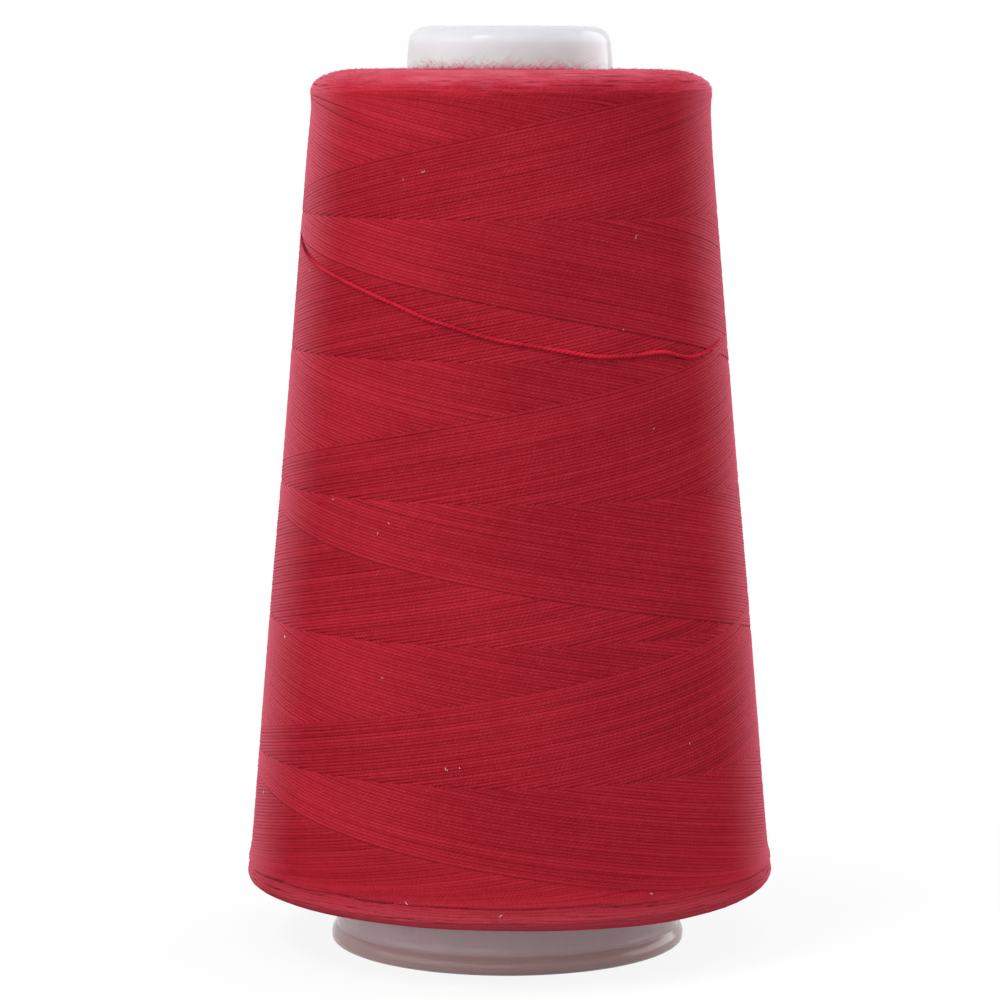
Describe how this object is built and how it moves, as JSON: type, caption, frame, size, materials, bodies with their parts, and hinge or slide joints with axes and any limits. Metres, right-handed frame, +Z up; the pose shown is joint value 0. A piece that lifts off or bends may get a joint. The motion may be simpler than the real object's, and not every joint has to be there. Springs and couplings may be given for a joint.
{
  "type": "cone of sewing thread",
  "caption": "Tapered moulded cone carrying a cross-wound package of sewing thread, with a rounded nose, a foot ring and a loose running end.",
  "frame": {"origin": "centre of the foot ring's underside, on the surface that the cone stands on", "axes": "+Z up along the cone's axis from foot to nose, -Y towards the side that the loose thread crosses"},
  "size_m": [0.0622, 0.0615, 0.108],
  "materials": {
    "cone_plastic": "natural translucent polypropylene, satin as moulded",
    "thread": "spun two-ply sewing thread, matt with a soft sheen and fine fuzz"
  },
  "bodies": {
    "root": {"cone": "cone_plastic", "thread_core": "thread", "outer_winding": "thread", "loose_thread": "thread"}
  },
  "joints": []
}
